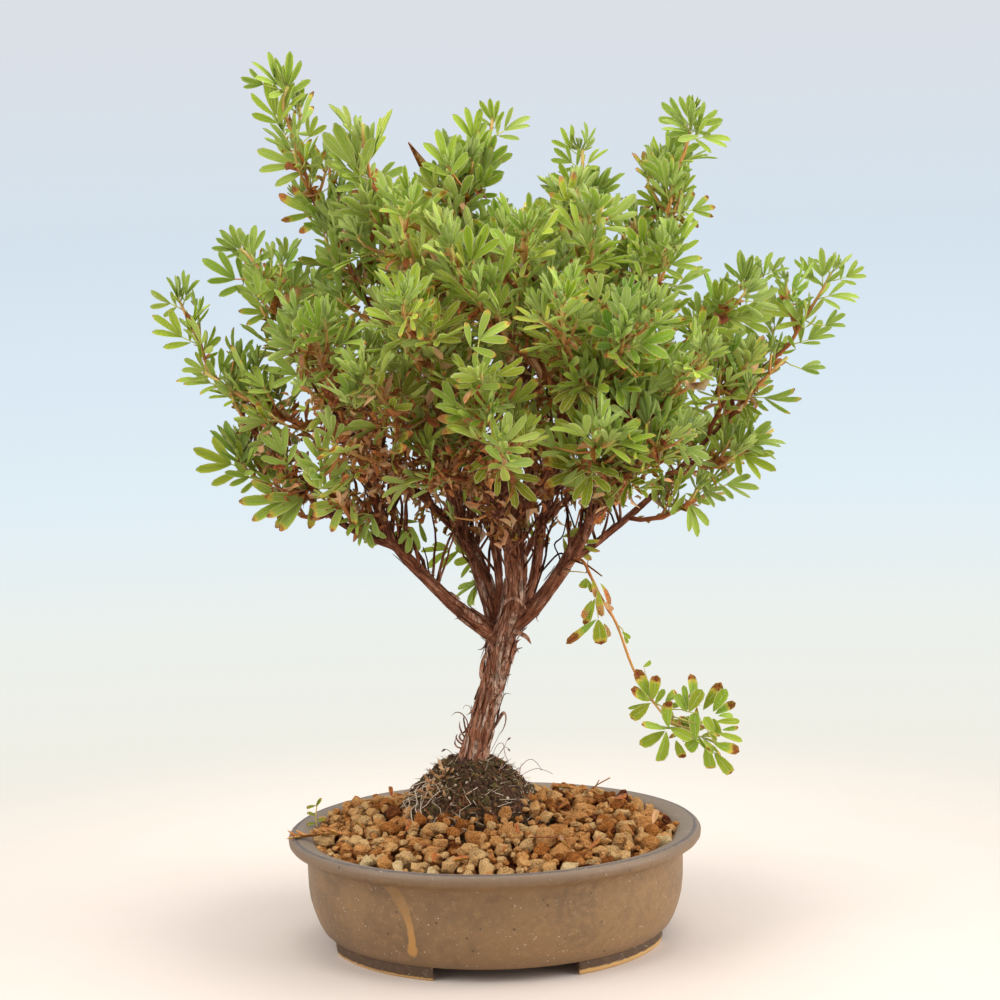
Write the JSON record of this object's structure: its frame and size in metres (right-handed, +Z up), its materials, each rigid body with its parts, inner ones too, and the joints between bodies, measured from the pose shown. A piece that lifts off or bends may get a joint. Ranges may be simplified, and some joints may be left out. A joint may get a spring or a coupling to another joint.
{
  "type": "potted shrubby cinquefoil bonsai",
  "caption": "Informal upright shrubby cinquefoil bonsai: leaning trunk, open fan of limbs with leafy shoots, one shoot hanging low, in a low oval footed pot filled with clay granules.",
  "frame": {"origin": "on the ground, under the middle of the whole plant's bounding box; the pot's centre lies 12 mm towards -X of it", "axes": "+Z up along the plant's height; -Y is the side that faces the camera in the picture; +X is that view's right"},
  "size_m": [0.2824, 0.2225, 0.3582],
  "materials": {
    "glaze": "satin",
    "net": "matte",
    "akadama": "matte",
    "moss": "matte",
    "bark": "matte",
    "foliage": "satin"
  },
  "bodies": {
    "root": {"pot": "glaze", "drain_net": "net", "granule_bed": "akadama", "root_mound": "moss", "trunk": "bark", "leafy_shoot_01": "foliage", "leafy_shoot_02": "foliage", "leafy_shoot_03": "foliage", "leafy_shoot_04": "foliage", "leafy_shoot_05": "foliage", "leafy_shoot_06": "foliage", "leafy_shoot_07": "foliage", "leafy_shoot_08": "foliage", "leafy_shoot_09": "foliage", "leafy_shoot_10": "foliage", "leafy_shoot_11": "foliage", "leafy_shoot_12": "foliage", "leafy_shoot_13": "foliage", "leafy_shoot_14": "foliage", "leafy_shoot_15": "foliage", "leafy_shoot_16": "foliage", "leafy_shoot_17": "foliage", "leafy_shoot_18": "foliage", "leafy_shoot_19": "foliage", "leafy_shoot_20": "foliage", "leafy_shoot_21": "foliage", "leafy_shoot_22": "foliage", "leafy_shoot_23": "foliage", "leafy_shoot_24": "foliage", "leafy_shoot_25": "foliage", "leafy_shoot_26": "foliage", "leafy_shoot_27": "foliage", "leafy_shoot_28": "foliage", "leafy_shoot_29": "foliage", "leafy_shoot_30": "foliage", "leafy_shoot_31": "foliage", "leafy_shoot_32": "foliage", "leafy_shoot_33": "foliage", "leafy_shoot_34": "foliage", "leafy_shoot_35": "foliage", "leafy_shoot_36": "foliage", "leafy_shoot_37": "foliage", "leafy_shoot_38": "foliage", "leafy_shoot_39": "foliage", "leafy_shoot_40": "foliage", "leafy_shoot_41": "foliage", "leafy_shoot_42": "foliage", "leafy_shoot_43": "foliage", "leafy_shoot_44": "foliage", "leafy_shoot_45": "foliage", "leafy_shoot_46": "foliage", "leafy_shoot_47": "foliage", "hanging_shoot": "foliage"}
  },
  "joints": []
}
